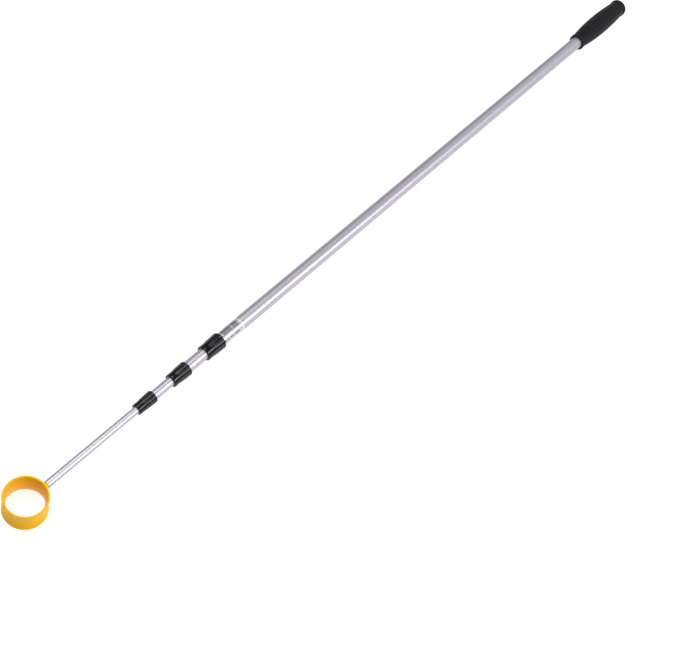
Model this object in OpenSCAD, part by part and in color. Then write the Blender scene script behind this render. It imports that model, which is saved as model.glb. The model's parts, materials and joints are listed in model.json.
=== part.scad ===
// Golf ball retriever: a yellow ball cup on a four-section telescopic aluminium pole
// with twist locks inside, black collars at the tube mouths and a rubber grip.
// X runs along the pole from the cup to the grip, Z is up and the cup stands on Z = 0.
// The origin is on the floor under the middle of the pole's length.

/* [Ball cup] */
// Height of the cup, rim to rim
cup_h = 30; // [30:0.5:34]
// Radius of the two outer rims
rim_r = 25.4; // [25:0.1:26.5]
// Outer radius of the waist at mid-height
waist_r = 22.9; // [22.5:0.1:23.5]
// Inner radius of the waist, which a ball of 21.34 mm radius can't pass
seat_r = 21; // [20.6:0.05:21.2]
// Inner radius at the two rims
mouth_r = 22.9; // [22.4:0.1:23.2]
// Radius of the rounded edges of the rims
rim_round = 1; // [0.6:0.1:1.1]
// Distance from the cup's axis to the end of its neck
neck_len = 30.5; // [29:0.1:36]
// Length of the spigot that plugs into the tip tube
spigot_len = 18; // [12:1:24]
// Thickness of the webs over and under the neck and of the gussets beside it
web_t = 2; // [1.5:0.1:3]

/* [Tubes] */
// Outer radius of the outer tube, the largest
outer_r = 8.75; // [8.5:0.05:9.5]
// Radius step from one section to the next
step_r = 1.4; // [1.35:0.05:1.5]
// Wall thickness of every tube
wall = 0.8; // [0.6:0.05:0.9]
// Bare length of the tip tube between the neck and collar 3
tip_out = 137; // [60:1:200]
// Bare length of section 3 between collars 3 and 2
third_out = 29; // [10:0.5:60]
// Bare length of section 2 between collars 2 and 1
second_out = 29; // [10:0.5:60]
// Bare length of the outer tube between collar 1 and the grip
outer_out = 798.5; // [700:0.5:850]
// Radius of the pin that holds the tip tube on the spigot
pin_r = 0.7; // [0.5:0.1:1]
// Distance of that pin from the end of the neck
pin_back = 4.5; // [4:0.5:9]

/* [Collars] */
// Length of collar 1, on the outer tube
collar_1_len = 28.5; // [27:0.5:34]
// Length of collar 2, on section 2
collar_2_len = 27; // [27:0.5:34]
// Length of collar 3, on section 3
collar_3_len = 27; // [27:0.5:34]
// How far a collar stands out from its tube at the wide end
collar_up = 2.1; // [1.8:0.1:2.5]
// How far a collar stands out from its tube at the mouth
mouth_up = 1.15; // [1:0.05:1.5]
// Length of smooth collar in front of the ribs
smooth_len = 8; // [6:0.5:11]
// Number of grooves round a collar
groove_n = 14; // [10:1:16]

/* [Grip] */
// Length of the grip
grip_len = 124.5; // [110:0.5:140]
// Radius of the grip at its thickest, where it rests on the floor
grip_r = 15; // [14:0.1:15]
// Radius of the lip round the grip's mouth
grip_mouth_r = 12.2; // [11.5:0.1:12.5]
// Radius of the grip in front of the knob at its closed end
grip_tail_r = 12.4; // [12:0.1:13]
// Number of flutes round the grip
flute_n = 12; // [8:1:14]

/* [Printed band] */
// Length of the printed band next to collar 1
band_len = 34; // [20:1:60]
// Thickness of the band's film
band_t = 0.1; // [0.08:0.02:0.2]

/* [Twist locks] */
// Length of the spindle's plug inside the tube
plug_len = 22; // [16:1:28]
// Length of the tapered part of the expander sleeve
taper_len = 17; // [15:1:20]
// Length of the cone nut
cone_len = 12; // [10:0.5:13]
// Travel of the cone nut between locked and free
cone_travel = 2; // [1:0.25:2.5]
// Radial running clearance of every sliding fit
run_gap = 0.05; // [0.03:0.01:0.08]

/* [Hidden] */
$fn = 96;

// Tube radii, from the outer tube (0) to the tip tube (3)
function tube_r(i) = outer_r - i * step_r;
function bore_r(i) = tube_r(i) - wall;

// Stations along the pole, measured from the cup's axis
mouth_3 = neck_len + tip_out;
mouth_2 = mouth_3 + collar_3_len + third_out;
mouth_1 = mouth_2 + collar_2_len + second_out;
grip_mouth = mouth_1 + collar_1_len + outer_out;
grip_end = grip_mouth + grip_len;
whole_len = rim_r + grip_end;

// Collar: a thin lip in front, then the bush flange, then the tube
lip_len = 1;
flange_len = 5;
seat_len = lip_len + flange_len;
bush_len = 16;
bush_end = seat_len + bush_len;
lip_gap = 0.45;
edge_round = 0.8;
groove_w = 0.9;
groove_deep = 0.45;

// Closed end of the pole
grip_floor = 4;
cap_flange = 1.5;
cap_len = 12;
tube_end = grip_end - grip_floor - cap_flange;
flute_r = 2.2;
flute_deep = 0.9;

// Twist lock, measured back from the tail of the tube that it sits on
shoulder_len = 2;
thrust_gap = 0.2;
hub_len = 4;
sleeve_start = shoulder_len + thrust_gap;
taper_start = sleeve_start + hub_len;
sleeve_end = taper_start + taper_len;
cone_proud = 1;
cone_start = sleeve_end + cone_proud - cone_len;
cone_end = cone_start + cone_len;
screw_start = cone_end + cone_travel + 0.3;
screw_head = 2;
screw_deep = 8;
lock_len = screw_start + screw_head;
sleeve_wall = 1;
taper_rise = 1.3;
cone_gap = 0.12;
slot_n = 4;
slot_w = 1;
slot_len = 14;
key_gap = 0.1;

// Room between the parts of one lock and the end of the tube around it when pushed in
spare = 4;
closed_gap = 1;
tip_closed = 20;
tail_2 = tube_end - cap_len - (second_out - closed_gap) - spare - lock_len;
tail_3 = tail_2 - plug_len - (third_out - closed_gap) - spare - lock_len;
tail_4 = tail_3 - plug_len - (tip_out - tip_closed) - spare - lock_len;

yellow = "gold";
black = "#1d1c22";
silver = "#cfcbd6";
steel = "#9a9aa0";
white = "#e8e6e0";

// Moves pole coordinates, with the cup's centre at 0, to the part's own frame
module in_place() {
    translate([rim_r - whole_len / 2, 0, cup_h / 2]) children();
}

// Solid rod along the pole
module rod(x0, x1, r) {
    translate([x0, 0, 0]) rotate([0, 90, 0]) cylinder(h = x1 - x0, r = r);
}

// Round tube along the pole
module pipe(x0, x1, ro, ri) {
    difference() {
        rod(x0, x1, ro);
        rod(x0 - 1, x1 + 1, ri);
    }
}

// Turned part along the pole, from points of radius and distance
module turned(x0, points) {
    translate([x0, 0, 0]) rotate([0, 90, 0]) rotate_extrude() polygon(points);
}

// Points of an arc in a turned profile
function arc(cr, cx, r, a0, a1, n = 8) =
    [for (i = [0 : n]) let (a = a0 + (a1 - a0) * i / n) [cr + r * cos(a), cx + r * sin(a)]];

// ---------- Ball cup ----------

// The wall leans by flare_a where the rounded edges of the rims take over from it
flare_a = 20;
bow_n = 14;
edge_z = cup_h / 2 - rim_round;
side_z = edge_z - rim_round * sin(flare_a);
edge_in = rim_round * (1 - cos(flare_a));

// Radius of the wall's two faces, bowed from the waist out to the rims
function outer_face(z) = waist_r + (rim_r - edge_in - waist_r) * pow(z / side_z, 2);
function inner_face(z) = seat_r + (mouth_r + edge_in - seat_r) * pow(z / side_z, 2);
function bow_z(i) = side_z * (2 * i / bow_n - 1);

module cup_outside() {
    side = [for (i = [1 : bow_n - 1]) [outer_face(bow_z(i)), bow_z(i)]];
    rotate_extrude()
        polygon(concat(
            [[0, -cup_h / 2]],
            arc(rim_r - rim_round, -edge_z, rim_round, -90, flare_a),
            side,
            arc(rim_r - rim_round, edge_z, rim_round, -flare_a, 90),
            [[0, cup_h / 2]]
        ));
}

module cup_inside() {
    over = 2;
    side = [for (i = [1 : bow_n - 1]) [inner_face(bow_z(i)), bow_z(i)]];
    rotate_extrude()
        polygon(concat(
            [[0, -cup_h / 2 - over], [mouth_r + rim_round, -cup_h / 2 - over]],
            arc(mouth_r + rim_round, -edge_z, rim_round, 270, 180 - flare_a),
            side,
            arc(mouth_r + rim_round, edge_z, rim_round, 180 + flare_a, 90),
            [[mouth_r + rim_round, cup_h / 2 + over], [0, cup_h / 2 + over]]
        ));
}

// Web in the upright plane through the pole, from the neck to the flare of a rim
module web(side) {
    root_x = seat_r + 1;
    foot_z = 12.5;
    tip_x = neck_len - 1.3;
    points = [
        [root_x, 0],
        [tip_x, 0],
        [tip_x, tube_r(3) - 0.4],
        [outer_face(foot_z) + 0.4, foot_z],
        [root_x, foot_z]
    ];
    rotate([90, 0, 0])
        linear_extrude(height = web_t, center = true)
            polygon([for (p = points) [p[0], side * p[1]]]);
}

// Gusset at mid-height, from the side of the neck to the waist
module gusset(side) {
    root_r = seat_r + 1;
    foot_a = 27;
    tip_x = neck_len - 3;
    points = [
        [root_r, 0],
        [tip_x, 0],
        [tip_x, tube_r(3) - 0.4],
        [waist_r * cos(foot_a), waist_r * sin(foot_a)],
        [root_r * cos(foot_a), root_r * sin(foot_a)]
    ];
    linear_extrude(height = web_t, center = true)
        polygon([for (p = points) [p[0], side * p[1]]]);
}

module cup_head() {
    neck_r = tube_r(3);
    root_up = 1;
    root_x = waist_r - seat_r;
    neck_x = neck_len - seat_r;
    plug_chamfer = 0.6;
    color(yellow) in_place() difference() {
        union() {
            cup_outside();
            turned(seat_r, [
                [0, 0],
                [neck_r + root_up, 0],
                [neck_r + root_up, root_x],
                [neck_r + 0.3 * root_up, root_x + root_up],
                [neck_r, root_x + 2.5 * root_up],
                [neck_r, neck_x],
                [bore_r(3), neck_x],
                [bore_r(3), neck_x + spigot_len - 2 * plug_chamfer],
                [bore_r(3) - plug_chamfer, neck_x + spigot_len],
                [0, neck_x + spigot_len]
            ]);
            for (side = [-1, 1]) {
                web(side);
                gusset(side);
            }
        }
        cup_inside();
        pin_hole(pin_r);
    }
}

module pin_hole(r) {
    translate([neck_len + pin_back, 0, 0])
        rotate([90, 0, 0])
            cylinder(h = 4 * tube_r(3), r = r, center = true, $fn = 32);
}

module neck_pin() {
    below = 0.5;
    pin_len = 2 * (tube_r(3) - below);
    color(steel) in_place()
        translate([neck_len + pin_back, 0, 0])
            rotate([90, 0, 0])
                cylinder(h = pin_len, r = pin_r, center = true, $fn = 32);
}

// ---------- Tubes ----------

module tip_tube() {
    color(silver) in_place() difference() {
        pipe(neck_len, tail_4, tube_r(3), bore_r(3));
        pin_hole(pin_r);
    }
}

module section_3_tube() {
    color(silver) in_place() pipe(mouth_3 + seat_len, tail_3, tube_r(2), bore_r(2));
}

module section_2_tube() {
    color(silver) in_place() pipe(mouth_2 + seat_len, tail_2, tube_r(1), bore_r(1));
}

module outer_tube() {
    color(silver) in_place() pipe(mouth_1 + seat_len, tube_end, tube_r(0), bore_r(0));
}

module label_band() {
    start = mouth_1 + collar_1_len + 0.5;
    color(white) in_place() pipe(start, start + band_len, tube_r(0) + band_t, tube_r(0));
}

// ---------- Collars and their bushes ----------

// Collar on tube i: ribbed, wider towards the grip, with rounded edges
module collar(i, mouth, len) {
    r0 = tube_r(i) + mouth_up;
    r1 = tube_r(i) + collar_up;
    shape = concat(
        [[r0 - edge_round, 0]],
        arc(r0 - edge_round, edge_round, edge_round, -90, 0),
        arc(r1 - edge_round, len - edge_round, edge_round, 0, 90),
        [[tube_r(i), len], [tube_r(i), lip_len], [tube_r(i + 1) + lip_gap, lip_len]],
        [[tube_r(i + 1) + lip_gap, 0]]
    );
    slope = atan((r1 - r0) / len);
    color(black) in_place() difference() {
        turned(mouth, shape);
        for (k = [0 : groove_n - 1])
            rotate([360 * k / groove_n, 0, 0])
                translate([mouth + smooth_len, 0, r0 + (r1 - r0) * smooth_len / len - groove_deep])
                    rotate([0, -slope, 0])
                        translate([0, -groove_w / 2, 0])
                            cube([len - smooth_len - 2.5, groove_w, 3]);
    }
}

// Bush in the mouth of tube i that guides the next smaller tube
module guide_bush(i, mouth) {
    bore = tube_r(i + 1) + run_gap;
    color(black) in_place()
        turned(mouth + lip_len, [
            [bore, 0],
            [tube_r(i), 0],
            [tube_r(i), flange_len],
            [bore_r(i), flange_len],
            [bore_r(i), flange_len + bush_len],
            [bore, flange_len + bush_len]
        ]);
}

// ---------- Grip and end plug ----------

module grip() {
    lip = 1.2;
    lip_in = 1;
    swell_start = 5;
    knob = 9;
    knob_up = 0.9;
    knob_round = 3;
    swell_end = grip_len - knob;
    swell = 0.5;
    swell_n = 16;
    flute_start = 12;
    side = [
        for (k = [0 : swell_n])
            let (t = k / swell_n)
            let (end_r = t < swell ? grip_mouth_r - lip_in : grip_tail_r)
            let (away = t < swell ? (swell - t) / swell : (t - swell) / (1 - swell))
            [
                grip_r - (grip_r - end_r) * pow(away, 2),
                swell_start + (swell_end - swell_start) * t
            ]
    ];
    outline = concat(
        [[tube_r(0), 0]],
        arc(grip_mouth_r - lip, lip, lip, -90, 0, 6),
        arc(grip_mouth_r - lip, 2.5 * lip, lip, 10, 70, 4),
        side,
        arc(grip_tail_r + knob_up - knob_round, swell_end + knob_round, knob_round, -45, 0, 4),
        arc(grip_tail_r + knob_up - knob_round, grip_len - knob_round, knob_round, 10, 90),
        [[0, grip_len], [0, grip_len - grip_floor], [tube_r(0), grip_len - grip_floor]]
    );
    color(black) in_place() difference() {
        turned(grip_mouth, outline);
        for (k = [0 : flute_n - 1])
            rotate([360 * (k + 0.5) / flute_n, 0, 0])
                translate([0, 0, grip_r + flute_r - flute_deep])
                    rod(grip_mouth + flute_start, grip_end - flute_start, flute_r);
    }
}

module end_plug() {
    color(black) in_place() {
        rod(tube_end - cap_len, tube_end + cap_flange, bore_r(0));
        pipe(tube_end, tube_end + cap_flange, tube_r(0), bore_r(0) - 1);
    }
}

// ---------- Twist locks ----------

function stud_r(i) = 2.5 - 0.5 * (i - 1);
function screw_r(i) = 1.1 - 0.2 * (i - 1);
function taper_r(i, u) =
    bore_r(i - 1) - run_gap - sleeve_wall - taper_rise * (sleeve_end - u) / taper_len;

// Spindle fixed in the tail of tube i: plug, shoulder and stud
module lock_spindle(i, tail) {
    color(white) in_place() difference() {
        turned(tail, [
            [0, -plug_len],
            [bore_r(i) - 0.5, -plug_len],
            [bore_r(i), -plug_len + 1],
            [bore_r(i), 0],
            [tube_r(i), 0],
            [tube_r(i), shoulder_len],
            [stud_r(i), shoulder_len],
            [stud_r(i), screw_start],
            [0, screw_start]
        ]);
        rod(tail + screw_start - screw_deep, tail + screw_start + 1, screw_r(i));
    }
}

// Split sleeve that slides in the bore of tube i - 1 and grips it when it spreads
module expander_sleeve(i, tail) {
    color("dimgray") in_place() difference() {
        turned(tail, [
            [stud_r(i) + run_gap, sleeve_start],
            [bore_r(i - 1) - run_gap, sleeve_start],
            [bore_r(i - 1) - run_gap, sleeve_end],
            [taper_r(i, sleeve_end), sleeve_end],
            [taper_r(i, taper_start), taper_start],
            [stud_r(i) + run_gap, taper_start]
        ]);
        for (k = [0 : slot_n / 2 - 1])
            rotate([360 * k / slot_n, 0, 0])
                translate([tail + sleeve_end - slot_len, -slot_w / 2, -2 * outer_r])
                    cube([slot_len + 1, slot_w, 4 * outer_r]);
    }
}

// Cone nut on the stud, keyed in two of the sleeve's slots
module cone_nut(i, tail) {
    key_w = slot_w - 2 * key_gap;
    key_r = bore_r(i - 1) - run_gap - 0.3;
    color(steel) in_place() difference() {
        union() {
            turned(tail, [
                [0, cone_start],
                [taper_r(i, cone_start) - cone_gap, cone_start],
                [taper_r(i, cone_end) - cone_gap, cone_end],
                [0, cone_end]
            ]);
            translate([tail + cone_start + 1, -key_w / 2, -key_r])
                cube([cone_len - 2, key_w, 2 * key_r]);
        }
        rod(tail + cone_start - 1, tail + cone_end + 1, stud_r(i) + run_gap);
    }
}

// Screw in the end of the stud that keeps the cone nut on it
module lock_screw(i, tail) {
    head_r = stud_r(i) + 0.9;
    color(steel) in_place() difference() {
        union() {
            rod(tail + screw_start - screw_deep, tail + screw_start + 1, screw_r(i));
            rod(tail + screw_start, tail + lock_len, head_r);
        }
        translate([tail + lock_len - 0.8, -0.4, -2 * head_r])
            cube([2, 0.8, 4 * head_r]);
    }
}

cup_head();
neck_pin();
tip_tube();
section_3_tube();
section_2_tube();
outer_tube();
collar(0, mouth_1, collar_1_len);  // collar_1
collar(1, mouth_2, collar_2_len);  // collar_2
collar(2, mouth_3, collar_3_len);  // collar_3
guide_bush(0, mouth_1);  // guide_bush_1
guide_bush(1, mouth_2);  // guide_bush_2
guide_bush(2, mouth_3);  // guide_bush_3
label_band();
grip();
end_plug();
lock_spindle(1, tail_2);  // lock_spindle_1
lock_spindle(2, tail_3);  // lock_spindle_2
lock_spindle(3, tail_4);  // lock_spindle_3
expander_sleeve(1, tail_2);  // expander_sleeve_1
expander_sleeve(2, tail_3);  // expander_sleeve_2
expander_sleeve(3, tail_4);  // expander_sleeve_3
cone_nut(1, tail_2);  // cone_nut_1
cone_nut(2, tail_3);  // cone_nut_2
cone_nut(3, tail_4);  // cone_nut_3
lock_screw(1, tail_2);  // lock_screw_1
lock_screw(2, tail_3);  // lock_screw_2
lock_screw(3, tail_4);  // lock_screw_3
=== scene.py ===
"""Golf ball retriever: a yellow ball cup on a telescopic aluminium pole.

Lengths inside the shape functions are millimetres and become metres in new_piece().
X runs along the pole, from the cup to the grip. The pole's axis is level.
"""

import json
import math

import bpy
import numpy as np
from mathutils import Matrix, Vector


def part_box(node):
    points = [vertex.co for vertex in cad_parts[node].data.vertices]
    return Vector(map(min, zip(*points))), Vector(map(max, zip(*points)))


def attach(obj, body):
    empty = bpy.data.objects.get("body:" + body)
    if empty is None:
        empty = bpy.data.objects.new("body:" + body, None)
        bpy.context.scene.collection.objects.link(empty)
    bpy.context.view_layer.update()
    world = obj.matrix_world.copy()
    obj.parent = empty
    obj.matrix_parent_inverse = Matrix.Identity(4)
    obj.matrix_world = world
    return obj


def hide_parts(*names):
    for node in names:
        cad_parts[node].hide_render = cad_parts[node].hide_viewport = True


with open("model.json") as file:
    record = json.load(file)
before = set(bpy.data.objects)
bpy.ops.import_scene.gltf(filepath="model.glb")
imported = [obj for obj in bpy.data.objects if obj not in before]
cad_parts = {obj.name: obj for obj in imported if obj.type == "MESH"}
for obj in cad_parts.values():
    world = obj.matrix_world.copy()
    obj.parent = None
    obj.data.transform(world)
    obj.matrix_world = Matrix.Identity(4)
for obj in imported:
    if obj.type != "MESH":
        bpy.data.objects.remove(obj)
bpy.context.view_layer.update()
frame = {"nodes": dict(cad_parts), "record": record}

MM = 0.001
TAU = 2 * math.pi
SEGMENTS = 96


# ---------- Places and sizes, from the frame ----------


def span(node):
    """First and last place of a node along the pole, in mm."""
    lo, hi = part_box(node)
    return lo.x / MM, hi.x / MM


def radius(node):
    """Outer radius of a round node, in mm."""
    lo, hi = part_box(node)
    return (hi.z - lo.z) / 2 / MM


def axis_height():
    lo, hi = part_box("outer_tube")
    return (lo.z + hi.z) / 2 / MM


AXIS_Z = axis_height()
WALL = 0.8

cup_lo, cup_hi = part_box("cup_head")
RIM_R = (cup_hi.y - cup_lo.y) / 2 / MM
CUP_H = (cup_hi.z - cup_lo.z) / MM
CUP_X = cup_lo.x / MM + RIM_R
NECK_END = span("tip_tube")[0] - CUP_X
SPIGOT_END = cup_hi.x / MM - CUP_X
PIN_X = sum(span("neck_pin")) / 2 - CUP_X
PIN_R = (span("neck_pin")[1] - span("neck_pin")[0]) / 2
HOLE_GAP = 0.05


# ---------- Mesh helpers ----------


def new_piece(name, verts, faces, body, node, sharp=35):
    """Makes a mesh from points in mm, which rides on a body in place of a CAD node.

    It takes the node's slot and material. Edges that turn by more than sharp degrees stay crisp.
    """
    mesh = bpy.data.meshes.new(name)
    points = np.asarray(verts, dtype=float) * MM
    mesh.from_pydata(points.tolist(), [], [list(f) for f in faces])
    mesh.update()
    mesh.validate()
    mesh.polygons.foreach_set("use_smooth", [True] * len(mesh.polygons))
    mesh.set_sharp_from_angle(angle=math.radians(sharp))
    slot = SLOT_OF[node]
    mesh.materials.append(MATERIALS[slot])
    piece = bpy.data.objects.new(name, mesh)
    bpy.context.collection.objects.link(piece)
    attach(piece, body)
    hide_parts(node)
    return piece


def lathe(profile, closed, shape=None, segments=SEGMENTS):
    """Turns a profile of (x, r) points about the pole's axis.

    A closed profile makes a ring. An open one starts and ends on the axis, at r = 0.
    shape(x, r, angle) returns the radius to use at that place.
    """
    angles = TAU * np.arange(segments) / segments
    verts = []
    rings = []
    for x, r in profile:
        if r <= 0:
            rings.append([len(verts)])
            verts.append((x, 0, AXIS_Z))
            continue
        radii = shape(x, r, angles) if shape else np.full(segments, float(r))
        rings.append(list(range(len(verts), len(verts) + segments)))
        for a, rr in zip(angles, radii):
            verts.append((x, rr * math.cos(a), AXIS_Z + rr * math.sin(a)))
    faces = []
    pairs = list(zip(rings, rings[1:]))
    if closed:
        pairs.append((rings[-1], rings[0]))
    for a, b in pairs:
        for k in range(segments):
            n = (k + 1) % segments
            if len(a) == 1:
                faces.append((a[0], b[n], b[k]))
            elif len(b) == 1:
                faces.append((a[k], a[n], b[0]))
            else:
                faces.append((a[k], a[n], b[n], b[k]))
    return verts, faces


def arc(cx, cr, r, start, end, n=6):
    """Points (x, r) on an arc round (cx, cr), angles in degrees from +X."""
    steps = np.radians(np.linspace(start, end, n + 1))
    return [(cx + r * math.cos(a), cr + r * math.sin(a)) for a in steps]


def smooth_step(value, low, high):
    t = np.clip((value - low) / (high - low), 0.0, 1.0)
    return t * t * (3 - 2 * t)


# ---------- Materials ----------


def new_material(name, roughness, metallic=0.0, specular=0.5):
    material = bpy.data.materials.new(name)
    material.use_nodes = True
    tree = material.node_tree
    shader = tree.nodes["Principled BSDF"]
    shader.inputs["Roughness"].default_value = roughness
    shader.inputs["Metallic"].default_value = metallic
    shader.inputs["Specular IOR Level"].default_value = specular
    return material, tree, shader


def add(tree, kind, **settings):
    node = tree.nodes.new(kind)
    for key, value in settings.items():
        if key in node.inputs:
            node.inputs[key].default_value = value
        else:
            setattr(node, key, value)
    return node


def coordinates(tree, scale=(1, 1, 1)):
    """Object coordinates times a scale for each axis."""
    where = add(tree, "ShaderNodeTexCoord")
    mapping = add(tree, "ShaderNodeMapping", Scale=scale)
    tree.links.new(where.outputs["Object"], mapping.inputs["Vector"])
    return mapping.outputs["Vector"]


def noise(tree, scale, vector, detail=3.0):
    node = add(tree, "ShaderNodeTexNoise", Scale=scale, Detail=detail, Roughness=0.55)
    tree.links.new(vector, node.inputs["Vector"])
    return node.outputs["Fac"]


def ramp(tree, factor, dark, light):
    """Colour that goes from dark to light over the middle of a 0 to 1 factor."""
    node = add(tree, "ShaderNodeValToRGB")
    for element, place, colour in zip(node.color_ramp.elements, (0.3, 0.7), (dark, light)):
        element.position = place
        element.color = (*colour, 1.0)
    tree.links.new(factor, node.inputs["Fac"])
    return node.outputs["Color"]


def spread(tree, factor, low, high):
    """Maps a 0 to 1 factor to a range."""
    node = add(tree, "ShaderNodeMapRange")
    node.inputs["To Min"].default_value = low
    node.inputs["To Max"].default_value = high
    tree.links.new(factor, node.inputs["Value"])
    return node.outputs["Result"]


def bump(tree, shader, height, strength, distance):
    node = add(tree, "ShaderNodeBump", Strength=strength, Distance=distance)
    tree.links.new(height, node.inputs["Height"])
    tree.links.new(node.outputs["Normal"], shader.inputs["Normal"])


def edge_wear(tree, low, high):
    """0 on flats and hollows, 1 on outer edges."""
    geometry = add(tree, "ShaderNodeNewGeometry")
    node = add(tree, "ShaderNodeMapRange")
    node.inputs["From Min"].default_value = low
    node.inputs["From Max"].default_value = high
    tree.links.new(geometry.outputs["Pointiness"], node.inputs["Value"])
    return node.outputs["Result"]


def blend_colour(tree, factor, first, second):
    """Mix of two colours, or of two nodes' outputs: the first at 0, the second at 1."""
    node = add(tree, "ShaderNodeMix", data_type="RGBA")
    tree.links.new(factor, node.inputs[0])
    for socket, value in ((node.inputs[6], first), (node.inputs[7], second)):
        if isinstance(value, tuple):
            socket.default_value = (*value, 1.0)
        else:
            tree.links.new(value, socket)
    return node.outputs[2]


def yellow_plastic():
    material, tree, shader = new_material("cup_yellow", 0.34, specular=0.12)
    shader.inputs["Specular Tint"].default_value = (1.0, 0.66, 0.2, 1.0)
    cloud = noise(tree, 60, coordinates(tree), detail=2)
    colour = ramp(tree, cloud, (0.77, 0.40, 0.001), (0.83, 0.435, 0.0015))
    worn = blend_colour(tree, edge_wear(tree, 0.52, 0.62), colour, (0.93, 0.55, 0.005))
    tree.links.new(worn, shader.inputs["Base Color"])
    shader.inputs["Subsurface Weight"].default_value = 0.1
    shader.inputs["Subsurface Radius"].default_value = (1.0, 0.55, 0.1)
    shader.inputs["Subsurface Scale"].default_value = 0.003
    patches = noise(tree, 400, coordinates(tree), detail=4)
    tree.links.new(spread(tree, patches, 0.32, 0.44), shader.inputs["Roughness"])
    grain = noise(tree, 2600, coordinates(tree), detail=2)
    bump(tree, shader, grain, 0.12, 0.0001)
    return material


def drawn_aluminium():
    """Satin anodised tube, with fine lines along its length."""
    material, tree, shader = new_material("tube_aluminium", 0.42, metallic=0.8)
    shader.inputs["Specular Tint"].default_value = (0.45, 0.44, 0.49, 1.0)
    lines = noise(tree, 1.0, coordinates(tree, (12, 2600, 2600)), detail=2)
    clouds = noise(tree, 1.0, coordinates(tree, (25, 90, 90)), detail=3)
    colour = ramp(tree, lines, (0.46, 0.445, 0.50), (0.53, 0.515, 0.57))
    tree.links.new(colour, shader.inputs["Base Color"])
    tree.links.new(spread(tree, clouds, 0.39, 0.46), shader.inputs["Roughness"])
    bump(tree, shader, lines, 0.10, 0.00004)
    return material


def black_gloss():
    material, tree, shader = new_material("collar_black", 0.13, specular=0.27)
    cloud = noise(tree, 220, coordinates(tree), detail=3)
    colour = ramp(tree, cloud, (0.004, 0.004, 0.006), (0.007, 0.0065, 0.010))
    worn = blend_colour(tree, edge_wear(tree, 0.52, 0.64), colour, (0.03, 0.03, 0.034))
    tree.links.new(worn, shader.inputs["Base Color"])
    tree.links.new(spread(tree, cloud, 0.10, 0.16), shader.inputs["Roughness"])
    bump(tree, shader, noise(tree, 3000, coordinates(tree)), 0.08, 0.00005)
    return material


def black_rubber():
    material, tree, shader = new_material("grip_rubber", 0.5, specular=0.12)
    cloud = noise(tree, 120, coordinates(tree), detail=4)
    colour = ramp(tree, cloud, (0.005, 0.005, 0.007), (0.009, 0.0085, 0.012))
    worn = blend_colour(tree, edge_wear(tree, 0.50, 0.60), colour, (0.03, 0.03, 0.034))
    tree.links.new(worn, shader.inputs["Base Color"])
    tree.links.new(spread(tree, cloud, 0.40, 0.58), shader.inputs["Roughness"])
    bump(tree, shader, noise(tree, 1800, coordinates(tree), detail=5), 0.25, 0.0002)
    return material


def plain_plastic(name, dark, light, roughness):
    material, tree, shader = new_material(name, roughness)
    cloud = noise(tree, 300, coordinates(tree), detail=3)
    tree.links.new(ramp(tree, cloud, dark, light), shader.inputs["Base Color"])
    tree.links.new(spread(tree, cloud, roughness - 0.06, roughness + 0.06), shader.inputs["Roughness"])
    bump(tree, shader, noise(tree, 2500, coordinates(tree)), 0.1, 0.0001)
    return material


def turned_metal(name, dark, light, roughness):
    """Lathe-turned metal, with rings across its length."""
    material, tree, shader = new_material(name, roughness, metallic=1.0)
    rings = noise(tree, 1.0, coordinates(tree, (6000, 40, 40)), detail=2)
    tree.links.new(ramp(tree, rings, dark, light), shader.inputs["Base Color"])
    tree.links.new(spread(tree, rings, roughness - 0.08, roughness + 0.1), shader.inputs["Roughness"])
    bump(tree, shader, rings, 0.15, 0.00005)
    return material


def calculate(tree, operation, first, second=0.0):
    """Math node on numbers or on other nodes' outputs."""
    node = add(tree, "ShaderNodeMath", operation=operation)
    for socket, value in zip(node.inputs, (first, second)):
        if isinstance(value, (int, float)):
            socket.default_value = value
        else:
            tree.links.new(value, socket)
    return node.outputs["Value"]


def between(tree, value, low, high):
    above = calculate(tree, "GREATER_THAN", value, low)
    return calculate(tree, "MULTIPLY", above, calculate(tree, "LESS_THAN", value, high))


TALL_BARS = {"turns": (0.92, 1.78), "cell": 1.9, "fill": 0.72, "share": 0.88}
SMALL_BARS = {"turns": (2.42, 2.72), "cell": 2.6, "fill": 0.66, "share": 0.8}
UNPRINTED_END = 5.0
END_LINE = 1.2


def marks(tree, along, turn, turns, cell, fill, share):
    """Row of plain bars along the pole: 1 on a bar, 0 in the gaps and past its turns (radians).

    A cell is one bar and its gap, in mm. Bars fill part of their cells, and a share have a bar.
    """
    place = calculate(tree, "DIVIDE", along, cell * MM)
    random_cell = add(tree, "ShaderNodeTexWhiteNoise", noise_dimensions="1D")
    tree.links.new(calculate(tree, "FLOOR", place), random_cell.inputs["W"])
    chosen = calculate(tree, "LESS_THAN", random_cell.outputs["Value"], share)
    inside = calculate(tree, "LESS_THAN", calculate(tree, "FRACT", place), fill)
    row = calculate(tree, "MULTIPLY", chosen, inside)
    return calculate(tree, "MULTIPLY", between(tree, turn, *turns), row)


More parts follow.
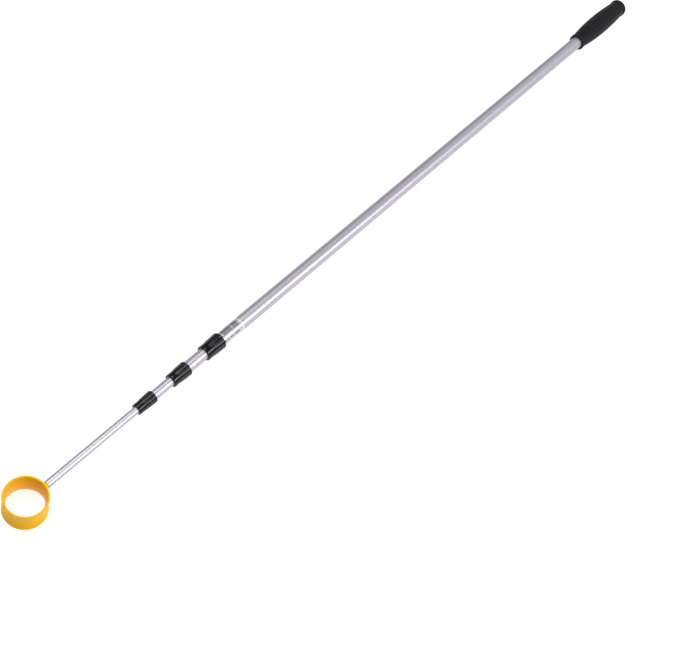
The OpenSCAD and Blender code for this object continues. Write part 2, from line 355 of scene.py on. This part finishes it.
def printed_film():
    """Pale film with two rows of plain bars along the pole and a white line at its end."""
    material, tree, shader = new_material("band_film", 0.3, metallic=0.6)
    where = coordinates(tree)
    parts = add(tree, "ShaderNodeSeparateXYZ")
    tree.links.new(where, parts.inputs["Vector"])
    along = parts.outputs["X"]
    height = calculate(tree, "SUBTRACT", parts.outputs["Z"], AXIS_Z * MM)
    turn = calculate(tree, "ARCTAN2", height, parts.outputs["Y"])
    tall = marks(tree, along, turn, **TALL_BARS)
    small = marks(tree, along, turn, **SMALL_BARS)
    band_end = span("label_band")[1]
    printable = calculate(tree, "LESS_THAN", along, (band_end - UNPRINTED_END) * MM)
    ink = calculate(tree, "MULTIPLY", calculate(tree, "MAXIMUM", tall, small), printable)
    film = ramp(tree, noise(tree, 300, where), (0.50, 0.49, 0.54), (0.56, 0.55, 0.60))
    printed = blend_colour(tree, ink, film, (0.13, 0.13, 0.15))
    line = calculate(tree, "GREATER_THAN", along, (band_end - END_LINE) * MM)
    tree.links.new(blend_colour(tree, line, printed, (1.0, 1.0, 1.0)), shader.inputs["Base Color"])
    tree.links.new(spread(tree, noise(tree, 500, where), 0.25, 0.36), shader.inputs["Roughness"])
    bump(tree, shader, noise(tree, 2400, where), 0.06, 0.00003)
    return material


MATERIALS = {
    "yellow_plastic": yellow_plastic(),
    "anodised_aluminium": drawn_aluminium(),
    "collar_plastic": black_gloss(),
    "grip_rubber": black_rubber(),
    "bush_plastic": plain_plastic("bush_black", (0.02, 0.02, 0.022), (0.04, 0.04, 0.043), 0.45),
    "lock_plastic": plain_plastic("spindle_nylon", (0.62, 0.61, 0.57), (0.72, 0.71, 0.68), 0.4),
    "sleeve_plastic": plain_plastic("sleeve_acetal", (0.08, 0.08, 0.085), (0.12, 0.12, 0.125), 0.4),
    "cone_brass": turned_metal("cone_brass", (0.62, 0.44, 0.16), (0.78, 0.58, 0.26), 0.28),
    "steel": turned_metal("plated_steel", (0.45, 0.45, 0.47), (0.62, 0.62, 0.64), 0.3),
    "band_film": printed_film(),
}

SLOT_OF = {p["node"]: p["material_slot"] for p in frame["record"]["subparts"]}


def dress_cad_nodes():
    """Gives each CAD node its slot's material. The locks, bushes, plug and pin keep their CAD shape."""
    for node, piece in frame["nodes"].items():
        piece.data.materials.clear()
        piece.data.materials.append(MATERIALS[SLOT_OF[node]])


# ---------- Cup: a smooth surface round a distance field ----------


def soft_min(a, b, k):
    """Lesser of two distances, blended where they differ by less than k."""
    h = np.clip(1 - np.abs(a - b) / k, 0, 1)
    return np.minimum(a, b) - h * h * k / 4


def soft_max(a, b, k):
    return -soft_min(-a, -b, k)


# The wall's inside goes from SEAT_R at the waist to MOUTH_R at the rims, and its outside from
# WAIST_R to RIM_R. The webs are the upright ribs of the neck, and the gussets the level ones.
SEAT_R = 21.0
MOUTH_R = 22.9
WAIST_R = 22.9
RIM_LAND = 1.35
SIDE_Z = CUP_H / 2 - RIM_LAND
RIM_ROUND = 1.2
RIB_T = 2.0
RIB_EDGE = 0.4
RIB_FILLET = 0.6
RIB_SUNK = 0.4
RIB_FOOT_SUNK = 0.5
WEB_BACK = 1.3
WEB_FOOT_Z = 12.5
GUSSET_BACK = 3.0
GUSSET_TURN = math.radians(27)
NECK_R = radius("tip_tube")
NECK_ROOT = 1.5
NECK_EDGE = 0.5
NECK_FILLET = 1.2
NECK_GAP = 0.12
SPIGOT_ROOT = 2.0
SPIGOT_EDGE = 0.8
FINE_STEP = 0.45


def cup_wall(away, bow, end):
    """Distance to the hourglass wall, with rounded rims."""
    outside = away - (WAIST_R + (RIM_R - WAIST_R) * bow)
    inside = (SEAT_R + (MOUTH_R - SEAT_R) * bow) - away
    return np.maximum(soft_max(outside, end, RIM_ROUND), soft_max(inside, end, RIM_ROUND))


def plate(x, out, across, tip, foot):
    """Distance to a plate beside the neck, cut off on a slant from its tip to its foot."""
    run = np.subtract(foot, tip)
    run = run / np.hypot(*run)
    slant = (x - tip[0]) * run[1] - (out - tip[1]) * run[0]
    ends = np.maximum(x - tip[0], out - foot[1] - RIB_FOOT_SUNK)
    return np.maximum(soft_max(np.abs(across) - RIB_T / 2, slant, RIB_EDGE), ends)


def cup_field(x, y, z):
    """Distance to the cup's surface, in mm from its centre. Negative is inside."""
    away = np.hypot(x, y)
    up = np.abs(z)
    from_pole = np.hypot(y, z)
    bow = np.minimum(up / SIDE_Z, 1.0) ** 2
    ring = cup_wall(away, bow, up - CUP_H / 2)
    root = np.maximum(SEAT_R + NECK_ROOT + (MOUTH_R - SEAT_R) * bow - away, -x)
    neck = soft_max(from_pole - NECK_R, x - (NECK_END - NECK_GAP), NECK_EDGE)
    neck = np.maximum(neck, root)
    foot_r = WAIST_R + (RIM_R - WAIST_R) * (WEB_FOOT_Z / SIDE_Z) ** 2
    web_foot = (foot_r + RIB_SUNK, WEB_FOOT_Z)
    web = plate(x, up, y, (NECK_END - WEB_BACK, NECK_R - RIB_SUNK), web_foot)
    gusset_foot = (WAIST_R * math.cos(GUSSET_TURN), WAIST_R * math.sin(GUSSET_TURN))
    gusset = plate(x, np.abs(y), z, (NECK_END - GUSSET_BACK, NECK_R - RIB_SUNK), gusset_foot)
    ribs = np.maximum(np.minimum(web, gusset), root)
    body = soft_min(soft_min(ring, neck, NECK_FILLET), ribs, RIB_FILLET)
    spigot = soft_max(from_pole - (NECK_R - WALL), x - SPIGOT_END, SPIGOT_EDGE)
    spigot = np.maximum(spigot, NECK_END - SPIGOT_ROOT - x)
    hole = np.hypot(x - PIN_X, z) - PIN_R - HOLE_GAP
    return np.maximum(np.minimum(body, spigot), -hole)


def surface_net(field, low, high, step):
    """Closed quad mesh of the zero surface of a field, by naive surface nets.

    Each grid cell that the surface crosses gets one point, the mean of its edges' crossings,
    and each crossed grid edge gets the quad between the four cells round it.
    """
    axes = [np.arange(a, b + step, step) for a, b in zip(low, high)]
    grid = np.meshgrid(*axes, indexing="ij")
    value = field(*grid)
    shape = tuple(n - 1 for n in value.shape)
    total = np.zeros(shape + (3,))
    count = np.zeros(shape)
    corners = [(i, j, k) for i in (0, 1) for j in (0, 1) for k in (0, 1)]
    for axis in range(3):
        for base in corners:
            if base[axis]:
                continue
            other = tuple(c + (1 if n == axis else 0) for n, c in enumerate(base))
            a = value[tuple(slice(c, c + s) for c, s in zip(base, shape))]
            b = value[tuple(slice(c, c + s) for c, s in zip(other, shape))]
            crossed = (a < 0) != (b < 0)
            t = np.where(crossed, a / np.where(crossed, a - b, 1.0), 0.0)
            for n in range(3):
                total[..., n] += np.where(crossed, base[n] + (t if n == axis else 0.0), 0.0)
            count += crossed
    used = count > 0
    index = -np.ones(shape, dtype=np.int64)
    index[used] = np.arange(used.sum())
    cell = np.argwhere(used)
    verts = np.array(low) + step * (cell + total[used] / count[used][:, None])
    faces = []
    for axis in range(3):
        u, v = [(1, 2), (2, 0), (0, 1)][axis]
        a = np.take(value, range(value.shape[axis] - 1), axis=axis) < 0
        b = np.take(value, range(1, value.shape[axis]), axis=axis) < 0
        edge = np.argwhere(a != b)
        edge = edge[(edge[:, u] > 0) & (edge[:, v] > 0)]
        starts_inside = a[tuple(edge.T)]
        du = np.eye(3, dtype=int)[u]
        dv = np.eye(3, dtype=int)[v]
        quad = np.stack([index[tuple((edge - s).T)] for s in (0, du, du + dv, dv)], axis=1)
        quad[~starts_inside] = quad[~starts_inside][:, ::-1]
        faces.append(quad)
    return verts, np.concatenate(faces)


def settle(verts, field, rounds=4, eps=0.01, most=0.2):
    """Moves points onto the field's zero surface, by at most a small step in each round."""
    for _ in range(rounds):
        x, y, z = verts.T
        value = field(x, y, z)
        slope = np.stack([
            field(x + eps, y, z) - field(x - eps, y, z),
            field(x, y + eps, z) - field(x, y - eps, z),
            field(x, y, z + eps) - field(x, y, z - eps)], axis=1) / (2 * eps)
        steepness = np.maximum((slope ** 2).sum(axis=1), 0.25)
        verts = verts - np.clip(value / steepness, -most, most)[:, None] * slope
    return verts


def make_cup():
    margin = 1.2  # empty cells all round the cup
    low = (-RIM_R - margin, -RIM_R - margin, -CUP_H / 2 - margin)
    high = (SPIGOT_END + margin, RIM_R + margin, CUP_H / 2 + margin)
    step = FINE_STEP
    verts, faces = surface_net(cup_field, low, high, step)
    verts = settle(verts, cup_field)
    verts = verts + np.array([CUP_X, 0, AXIS_Z])
    new_piece("ball_cup", verts, faces.tolist(), "tip", "cup_head", sharp=60)


# ---------- Tubes ----------


def tube_profile(x0, x1, outer, inner, chamfer=0.2):
    return [
        (x0, inner + chamfer), (x0, outer - chamfer), (x0 + chamfer, outer),
        (x1 - chamfer, outer), (x1, outer - chamfer), (x1, inner + chamfer),
        (x1 - chamfer, inner), (x0 + chamfer, inner)]


def make_tubes():
    bodies = {"outer_tube": "handle", "section_2_tube": "section_2", "section_3_tube": "section_3"}
    for node, body in bodies.items():
        x0, x1 = span(node)
        r = radius(node)
        verts, faces = lathe(tube_profile(x0, x1, r, r - WALL), closed=True)
        new_piece(node + "_drawn", verts, faces, body, node)


def drill(piece, x, r):
    """Cuts a round hole through a piece, level and across the pole."""
    sides = 32
    reach = RIM_R  # far outside the tube
    turns = TAU * np.arange(sides) / sides
    verts = [((x + r * math.cos(a)) * MM, side * reach * MM, (AXIS_Z + r * math.sin(a)) * MM)
             for side in (-1, 1) for a in turns]
    faces = [(k, sides + k, sides + (k + 1) % sides, (k + 1) % sides) for k in range(sides)]
    faces += [tuple(range(sides)), tuple(range(sides, 2 * sides))[::-1]]
    mesh = bpy.data.meshes.new("drill")
    mesh.from_pydata(verts, [], faces)
    cutter = bpy.data.objects.new("drill", mesh)
    bpy.context.collection.objects.link(cutter)
    cut = piece.modifiers.new("hole", "BOOLEAN")
    cut.object = cutter
    cut.operation = "DIFFERENCE"
    cut.solver = "EXACT"
    bpy.context.view_layer.update()
    drilled = piece.evaluated_get(bpy.context.evaluated_depsgraph_get())
    piece.data = bpy.data.meshes.new_from_object(drilled)
    piece.modifiers.clear()
    bpy.data.objects.remove(cutter)


def make_tip_tube():
    """Tip tube with the hole that its pin goes through."""
    x0, x1 = span("tip_tube")
    r = radius("tip_tube")
    inner = r - WALL
    hole_x = CUP_X + PIN_X
    near = 2.0  # rings this far before and behind the hole keep its edge crisp
    ends = tube_profile(x0, x1, r, inner)
    outer_loops = [(hole_x - near, r), (hole_x + near, r)]
    inner_loops = [(hole_x + near, inner), (hole_x - near, inner)]
    verts, faces = lathe(ends[:3] + outer_loops + ends[3:7] + inner_loops + ends[7:], closed=True)
    tube = new_piece("tip_tube_drawn", verts, faces, "tip", "tip_tube")
    drill(tube, hole_x, PIN_R + HOLE_GAP)


# ---------- Collars ----------

COLLAR_EDGE = 0.8
COLLAR_FLARE = 0.95
LIP_GAP = 0.45
LIP_T = 1.0
LIP_CHAMFER = 0.15
MOUTH_CHAMFER = 0.2

# Grooves sink between the ribs. They deepen behind the nose and end before the collar's back.
RIB_N = 14
COLLAR_SEGMENTS = 24 * RIB_N
RIB_UP = 0.26
RIB_START = 8.5
RIB_STAGGER = 1.2
RIB_TAPER = 9.0
RIB_HALF = 0.25
RIB_SIDE = 0.22
GROOVE_START = 1.5
GROOVE_FULL = 8.0
GROOVE_END = 1.4
GROOVE_FADE = 1.6


def rib_shape(x0, x1, wide):
    """Raised ribs with pointed, staggered starts behind a smooth nose."""
    pitch = TAU * wide / RIB_N

    def shape(x, r, angles):
        place = angles * RIB_N / TAU
        number = np.floor(place + 0.5)
        across = np.abs(place - number) * pitch
        start = x0 + RIB_START + RIB_STAGGER * (number % 2)
        half = RIB_HALF * pitch * np.clip((x - start) / RIB_TAPER, 0, 1) ** 0.6
        rib = smooth_step(half - across, -RIB_SIDE, RIB_SIDE) * smooth_step(x - start, 0, 1.0)
        front = smooth_step(x, x0 + GROOVE_START, x0 + GROOVE_FULL)
        back = smooth_step(x1 - GROOVE_END - x, 0, GROOVE_FADE)
        return r - RIB_UP * front * back * (1 - rib)

    return shape


def make_collars():
    """Each collar sits on its own tube's mouth, and its lip goes round the next tube in."""
    rows = (("1", "handle", "outer_tube", "section_2_tube"),
            ("2", "section_2", "section_2_tube", "section_3_tube"),
            ("3", "section_3", "section_3_tube", "tip_tube"))
    edge = COLLAR_EDGE
    for key, body, tube, inner in rows:
        x0, x1 = span("collar_" + key)
        wide = radius("collar_" + key)
        narrow = wide - COLLAR_FLARE
        bore = radius(tube)
        lip = radius(inner) + LIP_GAP
        outside = [(x, narrow + (wide - narrow) * (x - x0) / (x1 - x0))
                   for x in np.linspace(x0 + edge + 0.3, x1 - edge - 0.3, 80)]
        profile = (
            [(x0 + LIP_T, lip), (x0 + LIP_CHAMFER, lip), (x0, lip + LIP_CHAMFER)]
            + arc(x0 + edge, narrow - edge, edge, 180, 90)
            + outside
            + arc(x1 - edge, wide - edge, edge, 90, 0)
            + [(x1, bore + MOUTH_CHAMFER), (x1 - MOUTH_CHAMFER, bore), (x0 + LIP_T, bore)])
        ribs = rib_shape(x0, x1, wide)
        verts, faces = lathe(profile, closed=True, shape=ribs, segments=COLLAR_SEGMENTS)
        new_piece("collar_%s_ribbed" % key, verts, faces, body, "collar_" + key, sharp=50)


# ---------- Grip ----------

GRIP_MOUTH_R = 12.2
GRIP_LIP_ROUND = 1.2
GRIP_LIP_LENGTH = 5.0
GRIP_LIP_UP = 1.0
GRIP_TAIL_R = 12.4
GRIP_KNOB = 9.0
GRIP_KNOB_R = 13.3
GRIP_KNOB_ROUND = 3.0
GRIP_FLOOR = 4.0
GRIP_CHAMFER = 0.3
FLUTE_N = 12
GRIP_SEGMENTS = 24 * FLUTE_N
FLUTE_DEEP = 0.9
FLUTE_WAVE = (0.35, 0.95)
FLUTE_START = 8.0
FLUTE_FULL = 26.0
FLUTE_END = 4.0
FLUTE_FADE = 16.0


def make_grip():
    """Barrel with flutes, a lip round its mouth and a knob round its closed end."""
    x0, x1 = span("grip")
    thick = radius("grip")
    bore = radius("outer_tube")
    lip = GRIP_LIP_ROUND
    knob = GRIP_KNOB_ROUND
    start = x0 + GRIP_LIP_LENGTH
    end = x1 - GRIP_KNOB
    middle = (start + end) / 2

    def side(x):
        end_r = GRIP_MOUTH_R - GRIP_LIP_UP if x < middle else GRIP_TAIL_R
        away = abs(x - middle) / (middle - start)
        return thick - (thick - end_r) * away ** 2

    def shape(x, r, angles):
        if r <= bore + GRIP_CHAMFER:
            return np.full(len(angles), float(r))
        hollow = smooth_step(-np.cos(angles * FLUTE_N), *FLUTE_WAVE)
        front = smooth_step(x, x0 + FLUTE_START, x0 + FLUTE_FULL)
        back = smooth_step(end - FLUTE_END - x, 0, FLUTE_FADE)
        return r - FLUTE_DEEP * hollow * front * back

    outside = [(x, side(x)) for x in np.linspace(start, end, 150)]
    profile = (
        [(x1 - GRIP_FLOOR, 0.0), (x1 - GRIP_FLOOR, bore)]
        + [(x0 + GRIP_CHAMFER, bore), (x0, bore + GRIP_CHAMFER)]
        + arc(x0 + lip, GRIP_MOUTH_R - lip, lip, 180, 90)
        + arc(x0 + 2.5 * lip, GRIP_MOUTH_R - lip, lip, 80, 20)
        + outside
        + arc(end + knob, GRIP_KNOB_R - knob, knob, 135, 90)
        + arc(x1 - knob, GRIP_KNOB_R - knob, knob, 80, 0, 8)
        + [(x1, 0.0)])
    verts, faces = lathe(profile, closed=False, shape=shape, segments=GRIP_SEGMENTS)
    new_piece("grip_fluted", verts, faces, "handle", "grip", sharp=60)


# ---------- Band ----------


def make_band():
    x0, x1 = span("label_band")
    r = radius("label_band")
    inner = radius("outer_tube")
    edge = 0.04
    profile = [
        (x0, inner), (x0, r - edge), (x0 + edge, r),
        (x1 - edge, r), (x1, r - edge), (x1, inner)]
    verts, faces = lathe(profile, closed=True)
    new_piece("printed_band", verts, faces, "handle", "label_band")


# ---------- Stage, light and camera ----------


FLOOR_REACH = 12.0
FLOOR_GLOW = 0.78

# Name, place, aimed at, length and width, all in metres, and power in watts.
SOFTBOXES = (
    ("right_softbox", (0.6, -2.3, 2.0), (0.6, 0, 0), (2.8, 1.2), 86),
    ("left_softbox", (-0.5, 0.85, 2.1), (-0.5, 0, 0), (2.4, 1.2), 39),
    ("back_panel", (3.6, 0.0, 2.0), (0.0, 0, 0), (5.0, 2.6), 30),
)


def make_floor():
    """A pale floor with a glow of its own, which keeps the shadows light."""
    far = FLOOR_REACH
    mesh = bpy.data.meshes.new("floor")
    corners = [(-far, -far, 0), (far, -far, 0), (far, far, 0), (-far, far, 0)]
    mesh.from_pydata(corners, [], [(0, 1, 2, 3)])
    floor = bpy.data.objects.new("floor", mesh)
    bpy.context.collection.objects.link(floor)
    material, _, shader = new_material("pale_floor", 0.9)
    shader.inputs["Base Color"].default_value = (0.36, 0.36, 0.365, 1)
    shader.inputs["Emission Color"].default_value = (1.0, 1.0, 1.0, 1)
    shader.inputs["Emission Strength"].default_value = FLOOR_GLOW
    mesh.materials.append(material)


def make_softbox(name, place, aim, size, power):
    data = bpy.data.lights.new(name, "AREA")
    data.shape = "RECTANGLE"
    data.size, data.size_y = size
    data.energy = power
    lamp = bpy.data.objects.new(name, data)
    lamp.location = place
    lamp.visible_camera = False
    lamp.rotation_euler = (Vector(aim) - Vector(place)).to_track_quat("-Z", "Y").to_euler()
    bpy.context.collection.objects.link(lamp)


def make_lights():
    """A dim even world and three softboxes, which draw the bright lines along the tubes."""
    world = bpy.data.worlds.new("studio")
    world.use_nodes = True
    background = world.node_tree.nodes["Background"]
    background.inputs["Color"].default_value = (0.95, 0.96, 1.0, 1)
    background.inputs["Strength"].default_value = 0.2
    bpy.context.scene.world = world
    for row in SOFTBOXES:
        make_softbox(*row)


def make_colours_plain():
    """Shows colours as they are, so that the pale floor stays white."""
    bpy.context.scene.view_settings.view_transform = "Standard"


# The camera's place from the cup's centre in metres, and the directions of its view and of
# the picture's right edge, which also tells its roll.
CAMERA_PLACE = (-0.4527, -0.4353, 1.3470)
CAMERA_AHEAD = (0.5367, 0.2109, -0.8170)
CAMERA_RIGHT = (0.6299, -0.7444, 0.2216)
CAMERA_LENS = 70.85


def make_camera():
    """A standing view over the cup, along the pole, with the camera rolled."""
    ahead = Vector(CAMERA_AHEAD)
    right = Vector(CAMERA_RIGHT)
    up = right.cross(ahead)
    data = bpy.data.cameras.new("camera")
    data.sensor_width = 36.0
    data.lens = CAMERA_LENS
    data.clip_start = 0.05
    data.clip_end = 50
    camera = bpy.data.objects.new("camera", data)
    place = Vector((CUP_X, 0, AXIS_Z)) * MM + Vector(CAMERA_PLACE)
    turn = Matrix((right, up, -ahead)).transposed()
    camera.matrix_world = Matrix.LocRotScale(place, turn.to_quaternion(), None)
    bpy.context.collection.objects.link(camera)
    bpy.context.scene.camera = camera


dress_cad_nodes()
make_camera()
make_cup()
make_tubes()
make_tip_tube()
make_collars()
make_grip()
make_band()
make_floor()
make_lights()
make_colours_plain()
